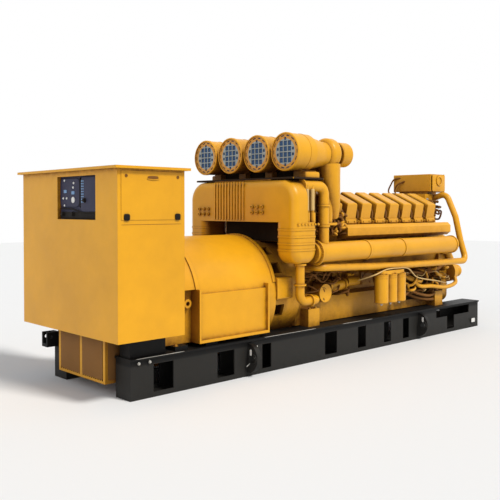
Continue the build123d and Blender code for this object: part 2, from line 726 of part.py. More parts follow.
# Oil cooler, starter and fittings low on the near side
wall = -crankcase_half_width - crankcase_cover_thickness
cooler_z = crankcase_low + oil_cooler_radius + cooler_flange + 6
cooler_y = wall - oil_cooler_radius - cooler_flange
cooler_rear = pump_x + side_pump_radius + 30
cooler = rod_x(cooler_rear, cooler_rear + oil_cooler_length, cooler_y, cooler_z, oil_cooler_radius)
for x in (cooler_rear, cooler_rear + oil_cooler_length - 36):
    cooler += rod_x(x, x + 36, cooler_y, cooler_z, oil_cooler_radius + cooler_flange)
cooler += block(cooler_rear + 120, cooler_rear + 260, cooler_y, wall, cooler_z - 60, cooler_z + 60)
save("oil_cooler", cooler)
starter_x = cooler_rear + oil_cooler_length + 60
starter = rod_x(starter_x, starter_x + starter_length, wall - starter_radius, cooler_z + 30, starter_radius)
starter += rod_x(starter_x + 20, starter_x + starter_length * 0.6, wall - starter_radius, cooler_z + 30 + starter_radius + 20,
                 starter_radius * 0.45)
save("starter_motor", starter)

# Front end: housing, damper, pumps, water outlet and junction box
housing = block(block_front, front_end, -front_housing_half_width, front_housing_half_width,
                pan_ledge, deck_outer[1])
housing = fillet(housing.edges().filter_by(Axis.X), 120)
save("front_housing", housing)
save("crank_damper", rod_x(front_end, front_end + damper_length, 0, shaft_height, damper_radius))
pump_axis = pump_radius - pump_offset
volute = rod_x(front_end, front_end + pump_length * 0.45, pump_axis, pump_height, pump_radius)
volute = fillet(volute.edges().sort_by(Axis.X)[-1:], 30)
volute += turned_x([(front_end + pump_length * 0.45 - 5, 0), (front_end + pump_length * 0.45 - 5, pump_radius * 0.6),
                    (front_end + pump_length * 0.8, pump_radius * 0.5), (front_end + pump_length, pump_radius * 0.62),
                    (front_end + pump_length + 24, pump_radius * 0.62), (front_end + pump_length + 24, 0)],
                   pump_axis, pump_height)
riser_x = front_end + pump_length * 0.22
outlet = pipe([(riser_x, pump_axis - 40, pump_height), (riser_x, pump_axis - 40, pump_height + 170),
               (riser_x - 130, pump_axis - 40, pump_height + 330), (block_front + 20, pump_axis - 40, pump_height + 330)],
              pump_outlet_radius, pump_outlet_bend)
front_case = housing + block(block_front - 200, block_front, -600, 600, pan_ledge, deck_outer[1])
save_both("water_pumps", (volute + outlet) - front_case)
junction_rear = skid_rear + junction_box_station
junction = block(junction_rear, junction_rear + junction_box_length, -junction_box_half_width,
                 junction_box_half_width, junction_box_underside, junction_box_underside + junction_box_height)
junction = fillet(junction.edges(), 8)
lid_rear = junction_rear + junction_box_length
junction += block(lid_rear, lid_rear + junction_lid, -junction_box_half_width - junction_lid / 2,
                  junction_box_half_width + junction_lid / 2, junction_box_underside - junction_lid / 2,
                  junction_box_underside + junction_box_height)
gland_x = junction_rear + junction_box_length * 0.55
gland_z = junction_box_underside + junction_box_height * 0.55
junction += rod_y(-junction_box_half_width - 16, junction_box_half_width + 16, gland_x, gland_z, junction_gland_radius)
save("junction_box", junction)
save("junction_box_bracket", block(junction_rear + 30, junction_rear + junction_box_length - 60, -250, 250,
                                   outlet_housing_top, junction_box_underside))

# Control box with its panel, roof and removable covers
shell = block(box_rear, box_front, -box_half_width, box_half_width, box_bottom, box_top)
panel_low = box_bottom + panel_low_edge
panel_left = panel_offset - panel_width / 2
recess = block(box_rear - 1, box_rear + panel_recess, panel_left, panel_left + panel_width,
               panel_low, panel_low + panel_height)
save("control_box", shell - recess)
save("control_panel", block(box_rear + panel_recess - panel_thickness, box_rear + panel_recess, panel_left,
                            panel_left + panel_width, panel_low, panel_low + panel_height))
save("control_box_roof", block(box_rear - roof_overhang, box_front + roof_overhang,
                               -box_half_width - roof_overhang, box_half_width + roof_overhang,
                               box_top, box_top + roof_thickness))
side_cover = block(box_rear + side_cover_margin, box_front - side_cover_margin,
                   -box_half_width - side_cover_proud, -box_half_width,
                   box_top - side_cover_gap - side_cover_height, box_top - side_cover_gap)
save_both("box_side_covers", side_cover)

# Inlet guard and the stand under the control box
guard_rear = box_rear + guard_setback
guard_front = guard_rear + guard_length
guard = block(guard_rear, guard_front, -guard_half_width, guard_half_width, guard_underside, box_bottom)
guard -= block(guard_rear + guard_sheet, guard_front - guard_sheet, -guard_half_width + guard_sheet,
               guard_half_width - guard_sheet, guard_underside + guard_sheet, box_bottom + 1)
opening_width = guard_half_width - 1.5 * guard_frame
for side in (-1, 1):
    middle_y = side * (guard_frame / 2 + opening_width / 2)
    slots = int((opening_width - guard_slot) / guard_slot_pitch) + 1
    for i in range(slots):
        y = middle_y + (i - (slots - 1) / 2) * guard_slot_pitch
        guard -= block(guard_rear - 1, guard_rear + guard_sheet + 1, y - guard_slot / 2, y + guard_slot / 2,
                       guard_underside + guard_frame, box_bottom - guard_frame)
save("inlet_guard", guard)
stands = []
for side in (-1, 1):
    stands.append(block(skid_rear + stand_setback, box_front - stand_front_gap, side * (rail_inner + stand_inset),
                        side * (skid_half_width - stand_inset), rail_height, box_bottom))
save("control_box_stands", *stands)
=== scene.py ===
import json
from math import radians

import bpy
import numpy as np
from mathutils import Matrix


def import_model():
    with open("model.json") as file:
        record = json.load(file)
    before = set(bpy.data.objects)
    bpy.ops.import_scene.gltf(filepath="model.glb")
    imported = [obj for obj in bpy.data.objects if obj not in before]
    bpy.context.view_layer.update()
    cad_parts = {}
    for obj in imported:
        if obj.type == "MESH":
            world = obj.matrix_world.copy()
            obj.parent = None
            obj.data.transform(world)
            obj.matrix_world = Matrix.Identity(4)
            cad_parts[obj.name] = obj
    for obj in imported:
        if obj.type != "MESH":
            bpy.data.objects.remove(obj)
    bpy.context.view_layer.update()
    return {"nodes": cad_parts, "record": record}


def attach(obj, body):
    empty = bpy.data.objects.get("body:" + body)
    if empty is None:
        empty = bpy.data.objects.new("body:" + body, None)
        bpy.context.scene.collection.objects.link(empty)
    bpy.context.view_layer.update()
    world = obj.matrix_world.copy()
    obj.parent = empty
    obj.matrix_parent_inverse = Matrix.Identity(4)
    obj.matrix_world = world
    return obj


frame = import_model()
nodes = frame["nodes"]


# Directions, and the places of the machine that several pieces share. RAIL_FACE is measured out from the
# middle plane, a hair outside the rails' webs

OUT_NEAR = (0, -1, 0)
OUT_FAR = (0, 1, 0)
UP = (0, 0, 1)
DOWN = (0, 0, -1)
REAR = (-1, 0, 0)
FRONT = (1, 0, 0)

# A plate on a side of the machine spreads in these two directions, and their cross product points outwards
ON_REAR = (UP, OUT_FAR)
ON_NEAR = (FRONT, UP)
ON_FAR = (UP, FRONT)
ON_TOP = (FRONT, OUT_FAR)

CRANK_HEIGHT = 0.83
DRUM_PITCH = 0.470
DRUM_HEIGHT = 2.470
DRUM_Y = [DRUM_PITCH * (k - 1.5) for k in range(4)]
CYLINDER_PITCH = 0.300
FIRST_CYLINDER = 0.002
CYLINDERS = CYLINDER_PITCH * np.arange(8) + FIRST_CYLINDER
BETWEEN_CYLINDERS = CYLINDERS[:-1] + CYLINDER_PITCH / 2
RAIL_FACE = 0.7502


# Shared looks: small helpers for shader trees, and the node group that every finish uses

def put(tree, value, socket):
    """Feeds a socket from another socket, or sets it to a plain value."""
    if isinstance(value, bpy.types.NodeSocket):
        tree.links.new(value, socket)
    else:
        socket.default_value = value


def add(tree, kind, **settings):
    """One node with its settings."""
    node = tree.nodes.new(kind)
    for key, value in settings.items():
        setattr(node, key, value)
    return node


def noise(tree, coordinates, scale, detail, roughness=0.6):
    """A noise value that reads the given coordinates."""
    node = add(tree, "ShaderNodeTexNoise")
    node.inputs["Scale"].default_value = scale
    node.inputs["Detail"].default_value = detail
    node.inputs["Roughness"].default_value = roughness
    tree.links.new(coordinates, node.inputs["Vector"])
    return node.outputs["Fac"]


def ramp(tree, value, low, high):
    """Stretches a value between two levels to 0..1."""
    node = add(tree, "ShaderNodeMapRange", clamp=True)
    node.inputs["From Min"].default_value = low
    node.inputs["From Max"].default_value = high
    tree.links.new(value, node.inputs["Value"])
    return node.outputs["Result"]


def mix(tree, factor, first, second):
    """A colour between two, by a factor; each may be a socket or a plain value."""
    node = add(tree, "ShaderNodeMix", data_type="RGBA")
    put(tree, factor, node.inputs[0])
    put(tree, first, node.inputs[6])
    put(tree, second, node.inputs[7])
    return node.outputs[2]


def maths(tree, kind, first, second=0.0):
    """One sum; each term may be a socket or a number."""
    node = add(tree, "ShaderNodeMath", operation=kind)
    put(tree, first, node.inputs[0])
    put(tree, second, node.inputs[1])
    return node.outputs[0]


def closeness(tree, reach, free, closed):
    """How closed in a place is, 0..1: its ambient occlusion within the reach, stretched between two
    levels."""
    node = add(tree, "ShaderNodeAmbientOcclusion", samples=8, only_local=False)
    put(tree, reach, node.inputs["Distance"])
    return ramp(tree, node.outputs["AO"], free, closed)


def place_of(tree):
    """The three object coordinates, apart."""
    split = add(tree, "ShaderNodeSeparateXYZ")
    tree.links.new(add(tree, "ShaderNodeTexCoord").outputs["Object"], split.inputs[0])
    return split.outputs


def new_group(name, inputs, outputs):
    """An empty shader node group with named sockets."""
    group = bpy.data.node_groups.new(name, "ShaderNodeTree")
    for label, kind, value in inputs:
        socket = group.interface.new_socket(name=label, in_out="INPUT", socket_type=kind)
        socket.default_value = value
    for label, kind in outputs:
        group.interface.new_socket(name=label, in_out="OUTPUT", socket_type=kind)
    return group, group.nodes.new("NodeGroupInput").outputs, group.nodes.new("NodeGroupOutput").inputs


def coat_group():
    """Sprayed paint: a slow cloudy tone, a fine orange peel, and the deep colour as painted shade where a
    place is closed in: in dusty blotches within the given reach of a corner, and evenly in the machine's
    wide hollows."""
    group, given, result = new_group("sprayed_coat", [
        ("Paint", "NodeSocketColor", (0.8, 0.4, 0.03, 1)),
        ("Deep", "NodeSocketColor", (0.1, 0.04, 0.01, 1)),
        ("Shade_and_Dust_Strength", "NodeSocketFloat", 0.6),
        ("Reach", "NodeSocketFloat", 0.25),
        ("Roughness", "NodeSocketFloat", 0.35)], [
        ("Color", "NodeSocketColor"),
        ("Roughness", "NodeSocketFloat"),
        ("Height", "NodeSocketFloat")])
    hollow_reach, hollow_share = 1.1, 0.95
    cloud_share, shade_and_dust_dulls, blotch_dulls, peel_share = 0.17, 0.35, 0.1, 0.5
    place = add(group, "ShaderNodeTexCoord").outputs["Object"]
    cloud = noise(group, place, scale=1.7, detail=5.0)
    peel = noise(group, place, scale=420.0, detail=2.0)
    blotch = noise(group, place, scale=14.0, detail=6.0, roughness=0.7)
    # Painted shade: the deep colour is laid where ambient occlusion finds a place closed in, blotchy near
    # corners and even across the wide hollows; the same mask also dulls the roughness
    corner = maths(group, "MULTIPLY", closeness(group, given["Reach"], 0.95, 0.35), given["Shade_and_Dust_Strength"])
    corner = maths(group, "MULTIPLY", corner, ramp(group, blotch, 0.1, 0.62))
    hollow = maths(group, "MULTIPLY", closeness(group, hollow_reach, 0.62, 0.12),
                   maths(group, "MULTIPLY", given["Shade_and_Dust_Strength"], hollow_share))
    shade_and_dust = maths(group, "MAXIMUM", corner, hollow)
    clouded = maths(group, "MULTIPLY", ramp(group, cloud, 0.35, 0.7), cloud_share)
    tone = mix(group, clouded, given["Paint"], given["Deep"])
    put(group, mix(group, shade_and_dust, tone, given["Deep"]), result["Color"])
    duller = maths(group, "ADD", given["Roughness"], maths(group, "MULTIPLY", shade_and_dust, shade_and_dust_dulls))
    uneven = maths(group, "MULTIPLY", ramp(group, blotch, 0.3, 0.8), blotch_dulls)
    put(group, maths(group, "ADD", duller, uneven), result["Roughness"])
    put(group, maths(group, "ADD", maths(group, "MULTIPLY", peel, peel_share), blotch), result["Height"])
    return group


sprayed_coat = coat_group()


def coat(name, paint, deep, shade_and_dust_strength, reach, roughness, bump, edge=0.004, tones=None, **sockets):
    """A sprayed coat on a Principled shader. The deep colour lies as painted shade where a place is closed
    in, partly in dusty blotches at corners, the bump is the strength of the relief, and the edge is how far
    corners are worn round. The tones may be a function that builds the paint colour, and what is left names
    the shader's own sockets."""
    relief_depth = 0.001
    material = bpy.data.materials.new(name)
    material.use_nodes = True
    tree = material.node_tree
    shader = tree.nodes["Principled BSDF"]
    for label, value in sockets.items():
        shader.inputs[label.replace("_", " ")].default_value = value
    effect = add(tree, "ShaderNodeGroup", node_tree=sprayed_coat)
    put(tree, tones(tree) if tones else (*paint, 1), effect.inputs["Paint"])
    put(tree, (*deep, 1), effect.inputs["Deep"])
    put(tree, shade_and_dust_strength, effect.inputs["Shade_and_Dust_Strength"])
    put(tree, reach, effect.inputs["Reach"])
    put(tree, roughness, effect.inputs["Roughness"])
    put(tree, effect.outputs["Color"], shader.inputs["Base Color"])
    put(tree, effect.outputs["Roughness"], shader.inputs["Roughness"])
    worn = add(tree, "ShaderNodeBevel", samples=4)
    put(tree, edge, worn.inputs["Radius"])
    relief = add(tree, "ShaderNodeBump")
    put(tree, bump, relief.inputs["Strength"])
    put(tree, relief_depth, relief.inputs["Distance"])
    put(tree, worn.outputs["Normal"], relief.inputs["Normal"])
    put(tree, effect.outputs["Height"], relief.inputs["Height"])
    put(tree, relief.outputs["Normal"], shader.inputs["Normal"])
    return material


def rail_tones(tree):
    """Grey webs under a black upper flange."""
    web_top, flange_low = 0.315, 0.335
    web = ramp(tree, place_of(tree)["Z"], flange_low, web_top)
    return mix(tree, web, (0.005, 0.005, 0.005, 1), (0.023, 0.022, 0.020, 1))


def grille_tones(tree):
    """Pale wire inside each inlet's ring, and the ring itself in the drum's paint, by the distance from the
    nearest drum's axis: the root of the squares across and upward."""
    wire_radius, ring_radius = 0.148, 0.152
    place = place_of(tree)
    across = maths(tree, "SUBTRACT", maths(tree, "FLOORED_MODULO", place["Y"], DRUM_PITCH), DRUM_PITCH / 2)
    upward = maths(tree, "SUBTRACT", place["Z"], DRUM_HEIGHT)
    squares = maths(tree, "ADD", maths(tree, "MULTIPLY", across, across),
                    maths(tree, "MULTIPLY", upward, upward))
    ring = ramp(tree, maths(tree, "SQRT", squares), wire_radius, ring_radius)
    return mix(tree, ring, (0.36, 0.42, 0.42, 1), (0.70, 0.34, 0.05, 1))


def mesh_tones(tree):
    """Fine woven wire: round dark holes where a sine across meets a sine up."""
    weave = 420.0
    place = place_of(tree)
    along = maths(tree, "ADD", place["X"], place["Y"])
    across = maths(tree, "SINE", maths(tree, "MULTIPLY", along, weave))
    upward = maths(tree, "SINE", maths(tree, "MULTIPLY", place["Z"], weave))
    hole = ramp(tree, maths(tree, "MULTIPLY", across, upward), 0.05, 0.45)
    return mix(tree, hole, (0.36, 0.17, 0.045, 1), (0.05, 0.022, 0.008, 1))


# The finishes: paint, deep tone, strength of the painted shade, reach, roughness and bump of each, and what
# is special to it

yellow_paint = coat("yellow_paint", (0.80, 0.378, 0.005), (0.11, 0.028, 0.003), 0.96, 0.30, 0.36, 0.12,
                    Coat_Weight=0.08, Coat_Roughness=0.25, Specular_IOR_Level=0.35)
black_paint = coat("black_paint", (0.03, 0.029, 0.026), (0.008, 0.007, 0.006), 0.5, 0.2, 0.45, 0.15,
                   tones=rail_tones, Specular_IOR_Level=0.16)
dark_steel = coat("dark_steel", (0.06, 0.045, 0.035), (0.02, 0.014, 0.01), 0.6, 0.2, 0.5, 0.2)
panel_face = coat("panel_face", (0.030, 0.030, 0.062), (0.01, 0.01, 0.025), 0.4, 0.05, 0.5, 0.05,
                  Specular_IOR_Level=0.25)
filter_paper = coat("filter_paper", (0.05, 0.12, 0.27), (0.01, 0.03, 0.08), 0.7, 0.05, 0.85, 0.4)
grille_paint = coat("grille_paint", (0.45, 0.42, 0.34), (0.12, 0.06, 0.02), 0.5, 0.05, 0.45, 0.1,
                    edge=0.002, tones=grille_tones)
# Painted shade: a near-black brown for sheets laid where shadow falls in hollows and behind hoses
painted_shade = coat("painted_shade", (0.035, 0.020, 0.010), (0.008, 0.005, 0.003), 0.7, 0.3, 0.7, 0.3,
                Specular_IOR_Level=0.1)
zinc = coat("zinc", (0.55, 0.54, 0.50), (0.15, 0.13, 0.10), 0.4, 0.03, 0.35, 0.1, edge=0.001, Metallic=0.8)
rubber = coat("rubber", (0.010, 0.007, 0.005), (0.004, 0.003, 0.002), 0.4, 0.05, 0.6, 0.3,
              edge=0.001, Specular_IOR_Level=0.15)
brown_hose = coat("brown_hose", (0.22, 0.09, 0.015), (0.05, 0.018, 0.005), 0.6, 0.08, 0.55, 0.3,
                  edge=0.001, Specular_IOR_Level=0.2)
pale_line = coat("pale_line", (0.66, 0.44, 0.15), (0.28, 0.13, 0.03), 0.5, 0.06, 0.35, 0.1, edge=0.001)
blank_tag = coat("blank_tag", (0.78, 0.77, 0.74), (0.4, 0.38, 0.34), 0.3, 0.03, 0.5, 0.1, edge=0.001)
blue_key = coat("blue_key", (0.16, 0.30, 0.52), (0.03, 0.06, 0.12), 0.3, 0.02, 0.4, 0.1, edge=0.001)
guard_mesh = coat("guard_mesh", (0.20, 0.10, 0.035), (0.05, 0.022, 0.008), 0.6, 0.06, 0.6, 0.5,
                  edge=0.001, tones=mesh_tones, Specular_IOR_Level=0.15)

by_slot = {"yellow_paint": yellow_paint, "black_paint": black_paint, "dark_steel": dark_steel,
           "panel_face": panel_face, "filter_paper": filter_paper, "grille_paint": grille_paint}
for part in frame["record"]["subparts"]:
    mesh = nodes[part["node"]].data
    mesh.materials.clear()
    mesh.materials.append(by_slot[part["material_slot"]])


# Skins computed with numpy: every added piece is a closed surface with its faces outward

def angles(around):
    """Angles spread evenly over one turn."""
    return np.arange(around) * 2 * np.pi / around


def skin(name, rings, material):
    """Closed skins over stacks of rings, given as copies x stack x around x 3. Point k of a ring joins
    point k of the next, and each end ring closes to its own middle. Where the volume, the sum of the triple
    products of the first copy's triangles, is negative, every face is turned round."""
    sharp_corner = 0.6
    rings = np.asarray(rings, dtype=float)
    copies, stack, around, _ = rings.shape
    middles = np.stack([rings[:, 0].mean(axis=1), rings[:, -1].mean(axis=1)], axis=1)
    points = np.concatenate([rings.reshape(copies, -1, 3), middles], axis=1)
    i, k = np.meshgrid(np.arange(stack - 1), np.arange(around), indexing="ij")
    a, b = i * around + k, i * around + (k + 1) % around
    quads = np.stack([a, b, b + around, a + around], axis=-1).reshape(-1, 4)
    k = np.arange(around)
    after = (k + 1) % around
    top = (stack - 1) * around
    low = np.stack([np.full(around, stack * around), after, k], axis=-1)
    high = np.stack([np.full(around, stack * around + 1), top + k, top + after], axis=-1)
    caps = np.concatenate([low, high])
    sample = points[0]
    fans = np.concatenate([quads[:, [0, 1, 2]], quads[:, [0, 2, 3]], caps])
    products = np.cross(sample[fans[:, 1]], sample[fans[:, 2]])
    if np.einsum("ij,ij->i", sample[fans[:, 0]], products).sum() < 0:
        quads, caps = quads[:, ::-1], caps[:, ::-1]
    shift = (np.arange(copies) * points.shape[1])[:, None, None]
    faces = (quads + shift).reshape(-1, 4).tolist() + (caps + shift).reshape(-1, 3).tolist()
    mesh = bpy.data.meshes.new(name)
    mesh.from_pydata(points.reshape(-1, 3).tolist(), [], faces)
    mesh.polygons.foreach_set("use_smooth", np.ones(len(faces), dtype=bool))
    mesh.set_sharp_from_angle(angle=sharp_corner)
    mesh.materials.append(material)
    piece = bpy.data.objects.new(name, mesh)
    bpy.context.scene.collection.objects.link(piece)
    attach(piece, "root")
    return piece


def square_to(along):
    """Each direction at unit length, and two unit vectors square to it and to each other. The first is its
    cross product with one oblique fixed vector, which no piece here runs along."""
    oblique = (0.31, 0.83, 0.46)
    along = along / np.linalg.norm(along, axis=-1, keepdims=True)
    side = np.cross(along, oblique)
    side = side / np.linalg.norm(side, axis=-1, keepdims=True)
    return along, side, np.cross(along, side)


def turned(name, places, direction, profile, material=yellow_paint, hexagon=(),
           around=24):
    """Turned pieces, one at each place, on an axis in the given direction. The profile lists distance along
    the axis and radius; the stations listed in hexagon have six flats, where the radius is the flat's
    distance over the cosine of the angle from that flat's middle."""
    places = np.asarray(places, dtype=float).reshape(-1, 3)
    directions = np.broadcast_to(np.asarray(direction, dtype=float), places.shape)
    along, side, up = square_to(directions)
    stations = np.asarray(profile, dtype=float)
    angle = angles(around)
    flats = np.cos(np.pi / 6) / np.cos(angle % (np.pi / 3) - np.pi / 6)
    six_sided = np.isin(np.arange(len(stations)), hexagon)[:, None]
    radius = stations[:, 1:2] * np.where(six_sided, flats, 1.0)
    ring = (side[:, None, None] * (radius * np.cos(angle))[None, :, :, None]
            + up[:, None, None] * (radius * np.sin(angle))[None, :, :, None])
    rings = places[:, None, None] + along[:, None, None] * stations[None, :, None, 0:1] + ring
    return skin(name, rings, material)


def band(inner, outer, width):
    """A band's profile for turned: up a short slope, along the outer radius and down again."""
    slope = 0.002
    return [(0, inner), (slope, outer), (width - slope, outer), (width, inner)]


def bolts(name, places, direction, size, material=yellow_paint):
    """Hexagon heads on washers; the size is the head's radius over its corners."""
    washer = [(-0.2 * size, 1.25 * size), (0.12 * size, 1.3 * size), (0.18 * size, 1.2 * size)]
    head = [(0.18 * size, size), (0.75 * size, size), (0.86 * size, 0.86 * size), (0.88 * size, 0.4 * size)]
    return turned(name, places, direction, washer + head, material, hexagon=(3, 4))


def slabs(name, places, on, halves, depth, material=yellow_paint, power=7.0, rim=0.25):
    """Rounded plates on a side of the machine: the outline is a superellipse of the given power with the
    given half sizes in that side's two directions, and its edge rolls in by a quarter circle, as large as
    the rim's share of the depth, towards the outer face, which lies the depth above the place."""
    around, roll_steps = 40, 5
    places = np.asarray(places, dtype=float).reshape(-1, 3)
    u, v = np.asarray(on, dtype=float)
    normal = np.cross(u, v)
    angle = angles(around)
    across = np.sign(np.cos(angle)) * np.abs(np.cos(angle)) ** (2 / power)
    upward = np.sign(np.sin(angle)) * np.abs(np.sin(angle)) ** (2 / power)
    roll = np.linspace(0, np.pi / 2, roll_steps)
    edge = depth * rim
    height = np.concatenate([[0.0], depth - edge + edge * np.sin(roll)])
    inset = np.concatenate([[0.0], edge * (1 - np.cos(roll))])
    rings = (places[:, None, None]
             + ((halves[0] - inset)[:, None] * across)[None, :, :, None] * u
             + ((halves[1] - inset)[:, None] * upward)[None, :, :, None] * v
             + height[None, :, None, None] * normal)
    return skin(name, rings, material)


def smooth_path(points, samples):
    """Points along a Catmull-Rom curve through the given ones, evenly spread in its parameter: between two
    points it is the cubic whose slope at each is half the step between that point's neighbours. The last
    sample stays a hair short of the end, inside the last stretch."""
    hair = 1e-9
    p = np.asarray(points, dtype=float)
    p = np.vstack([2 * p[0] - p[1], p, 2 * p[-1] - p[-2]])
    t = np.linspace(0, len(points) - 1 - hair, samples)
    i = t.astype(int)
    f = (t - i)[:, None]
    a, b, c, d = p[i], p[i + 1], p[i + 2], p[i + 3]
    bend = (2 * a - 5 * b + 4 * c - d) * f ** 2 + (3 * b - a - 3 * c + d) * f ** 3
    return 0.5 * (2 * b + (c - a) * f + bend)


def tubes(name, paths, radius, material=brown_hose, samples=48, around=14):
    """Round tubes along smooth paths: a circle square to the path at each sample. At both ends the radius
    falls by the root of the distance to the end, which rounds the tip in."""
    tip_slope, tip_start = 0.6, 0.12
    paths = np.stack([smooth_path(path, samples) for path in paths])
    _, side, up = square_to(np.gradient(paths, axis=1))
    t = np.linspace(0, 1, samples)
    taper = np.sqrt(np.clip(np.minimum(t, 1 - t) * samples * tip_slope + tip_start, 0, 1))
    angle = angles(around)
    rings = paths[:, :, None] + (radius * taper)[None, :, None, None] * (
        side[:, :, None] * np.cos(angle)[:, None] + up[:, :, None] * np.sin(angle)[:, None])
    return skin(name, rings, material)


# Where pieces go

def grid(*axes):
    """Every combination of the given coordinates, as points."""
    return np.stack(np.meshgrid(*axes, indexing="ij"), axis=-1).reshape(-1, 3)


def both(places):
    """The given places or paths, and their mirror images across the middle plane."""
    places = np.asarray(places, dtype=float)
    return np.concatenate([places, places * (1, -1, 1)])


def circle(middle, u, v, radius, number, first=0.0):
    """Places spread evenly round a circle: the middle, plus the radius times the cosine of the angle in the
    direction u and times its sine in the direction v."""
    angle = (first + angles(number))[:, None]
    return middle + radius * (np.cos(angle) * u + np.sin(angle) * v)


def on_drum_axes(x):
    """A place on each air cleaner's axis."""
    return [(x, y, DRUM_HEIGHT) for y in DRUM_Y]


def beside_cylinders(offset):
    """Distances along the engine, one on each side of each cylinder."""
    return (CYLINDERS[:, None] + [-offset, offset]).ravel()


# Control box, rear: the panel's plates, knobs, dial, lamps and keys

PANEL_X = -3.268


def on_panel(proud, *places):
    """Places on the panel, from their distances across and up, all as proud of its face."""
    return [(PANEL_X - proud, y, z) for y, z in places]


slabs("panel_instrument_plate", on_panel(0, (-0.022, 1.976)), ON_REAR, (0.139, 0.184), 0.010,
      panel_face)
slabs("panel_switch_plate", on_panel(0, (-0.388, 1.957)), ON_REAR, (0.167, 0.150), 0.014,
      panel_face)
slabs("panel_lower_strip", on_panel(0, (-0.190, 1.754)), ON_REAR, (0.034, 0.352), 0.012,
      rubber)
tubes("panel_divider", [on_panel(0.006, (-0.222, 1.83), (-0.222, 1.97), (-0.222, 2.12))], 0.010,
      rubber)
lip = on_panel(0.014, (0.160, 1.822), (-0.02, 1.820), (-0.14, 1.808), (-0.25, 1.786), (-0.40, 1.782),
               (-0.535, 1.786))
tubes("panel_lip", [lip], 0.006, rubber)
knob_places = on_panel(0.012, (-0.317, 1.899)) + on_panel(0.010, (0.098, 1.768), (-0.094, 1.768))
turned("panel_knobs", knob_places, REAR,
       [(0, 0.024), (0.006, 0.024), (0.010, 0.019), (0.022, 0.017), (0.025, 0.013)], rubber)
turned("panel_dial", on_panel(0.010, (-0.094, 1.905)), REAR,
       [(0, 0.030), (0.006, 0.030), (0.008, 0.027), (0.008, 0.024), (0.005, 0.022)], blank_tag)
lamp_places = on_panel(0.010, (-0.106, 2.070), (-0.094, 2.027), (0.098, 1.922), (0.031, 1.922),
                       (0.074, 2.098), (0.074, 1.852))
turned("panel_lamps", lamp_places, REAR, [(0, 0.011), (0.005, 0.011), (0.009, 0.007)],
       blank_tag)
slabs("panel_readouts", on_panel(0.009, (0.062, 1.990), (-0.090, 1.975)), ON_REAR, (0.016, 0.028), 0.005,
      blue_key)
slabs("panel_keys", grid([PANEL_X - 0.013], [-0.262, -0.288], np.linspace(1.885, 2.085, 9)), ON_REAR,
      (0.007, 0.009), 0.004, blue_key)

# Control box, sides: the covers' latches, screws and handles, the seam under them and the feet's bolts. The
# faces are measured out from the middle plane, and the half sizes are the handle plate's

COVER_FACE = 0.9262
LIP_END_FACE, LIP_MIDDLE_FACE = 0.929, 0.931
SEAM_FACE = 0.9222
FOOT_BOLTS_FACE = 0.655
HALF_LENGTH, HALF_HEIGHT = 0.060, 0.014
for side, out, on, handle in (
        ("near", OUT_NEAR, ON_NEAR, (HALF_LENGTH, HALF_HEIGHT)),
        ("far", OUT_FAR, ON_FAR, (HALF_HEIGHT, HALF_LENGTH))):
    face = out[1] * COVER_FACE
    slabs(f"cover_latches_{side}", [(x, face, 1.742) for x in (-3.212, -2.639)], on, (0.030, 0.030), 0.011,
          rubber, power=4.0)
    turned(f"cover_screws_{side}", [(x, face, 2.118) for x in (-3.216, -2.635)], out,
           [(0, 0.015), (0.004, 0.014), (0.004, 0.008), (0.001, 0.006)], brown_hose)
    slabs(f"cover_handle_{side}", (-2.922, face, 2.108), on, handle, 0.0025, brown_hose,
          power=3.0)
    handle_lip = [(-2.990, out[1] * LIP_END_FACE, 2.094), (-2.922, out[1] * LIP_MIDDLE_FACE, 2.089),
                  (-2.854, out[1] * LIP_END_FACE, 2.094)]
    tubes(f"cover_handle_lip_{side}", [handle_lip], 0.005, yellow_paint)
    tubes(f"box_seam_{side}", [[(x, out[1] * SEAM_FACE, 1.674) for x in (-3.27, -2.93, -2.59)]], 0.0016,
          brown_hose)
    bolts(f"box_foot_bolts_{side}", grid([-2.99, -2.82, -2.65], [out[1] * FOOT_BOLTS_FACE], [0.600]), DOWN,
          0.014, zinc)

# Drive and mounts: bolts round the coupling housing, on the generator's pads and on the engine's feet

housing_ring = circle((-0.778, 0, CRANK_HEIGHT), UP, OUT_FAR, 0.600, 16) * (1, 0.93, 1)
bolts("coupling_ring_bolts", housing_ring[housing_ring[:, 2] > 0.45], REAR, 0.016)
bolts("pad_bolts", both(grid([-2.46, -2.03, -1.29], [-0.655], [0.440])), UP, 0.020)
bolts("engine_foot_bolts", both(grid([-0.40, -0.29], [-0.60], [0.610])), UP, 0.018)

# Air cleaners and turbochargers: bands, clamps, bolts and oil lines

turned("cleaner_bands", on_drum_axes(-0.725), FRONT, band(0.214, 0.2195, 0.018), around=64)
turned("turbo_clamps", on_drum_axes(-0.075), FRONT,
       [(0, 0.12), (0.004, 0.158), (0.012, 0.164), (0.020, 0.158), (0.024, 0.12)], around=56)
turbo_rings = [circle((-0.116, y, DRUM_HEIGHT + 0.01), OUT_FAR, UP, 0.128, 10) for y in DRUM_Y]
bolts("turbo_bolts", np.concatenate(turbo_rings), FRONT, 0.010)
bolts("saddle_bolts", both(grid([-0.69, -0.51], [-0.766], [2.205])), OUT_NEAR, 0.012)
tubes("turbo_oil_lines", [
    [(-0.20, y + 0.10, 2.345), (-0.135, y + 0.125, 2.30), (-0.10, y + 0.150, 2.22), (-0.13, y + 0.10, 2.15),
     (-0.20, y + 0.02, 2.14)] for y in DRUM_Y[:3]], 0.010)

# Painted shade: dark sheets in the hollows under the drums and behind the bridge; and the blocks under the
# outer drums' saddles

slabs("cradle_dark_plate", (-0.698, 0, 2.158), ON_TOP, (0.266, 0.866), 0.0215, painted_shade,
      power=40.0)
slabs("cradle_dark_web", (-0.6445, 0, 2.265), ON_REAR, (0.085, 0.70), 0.004, painted_shade,
      power=30.0)
slabs("pedestal_dark_face", (-0.7785, 0, 1.548), ON_REAR, (0.115, 0.475), 0.004, painted_shade,
      power=30.0)
for side, y in (("near", -0.765), ("far", 0.765)):
    slabs(f"{side}_saddle_block", (-0.60, y, 2.180), ON_TOP, (0.125, 0.075), 0.068)

# Cooler housing, its elbows, the turbochargers' downpipes and the regulator

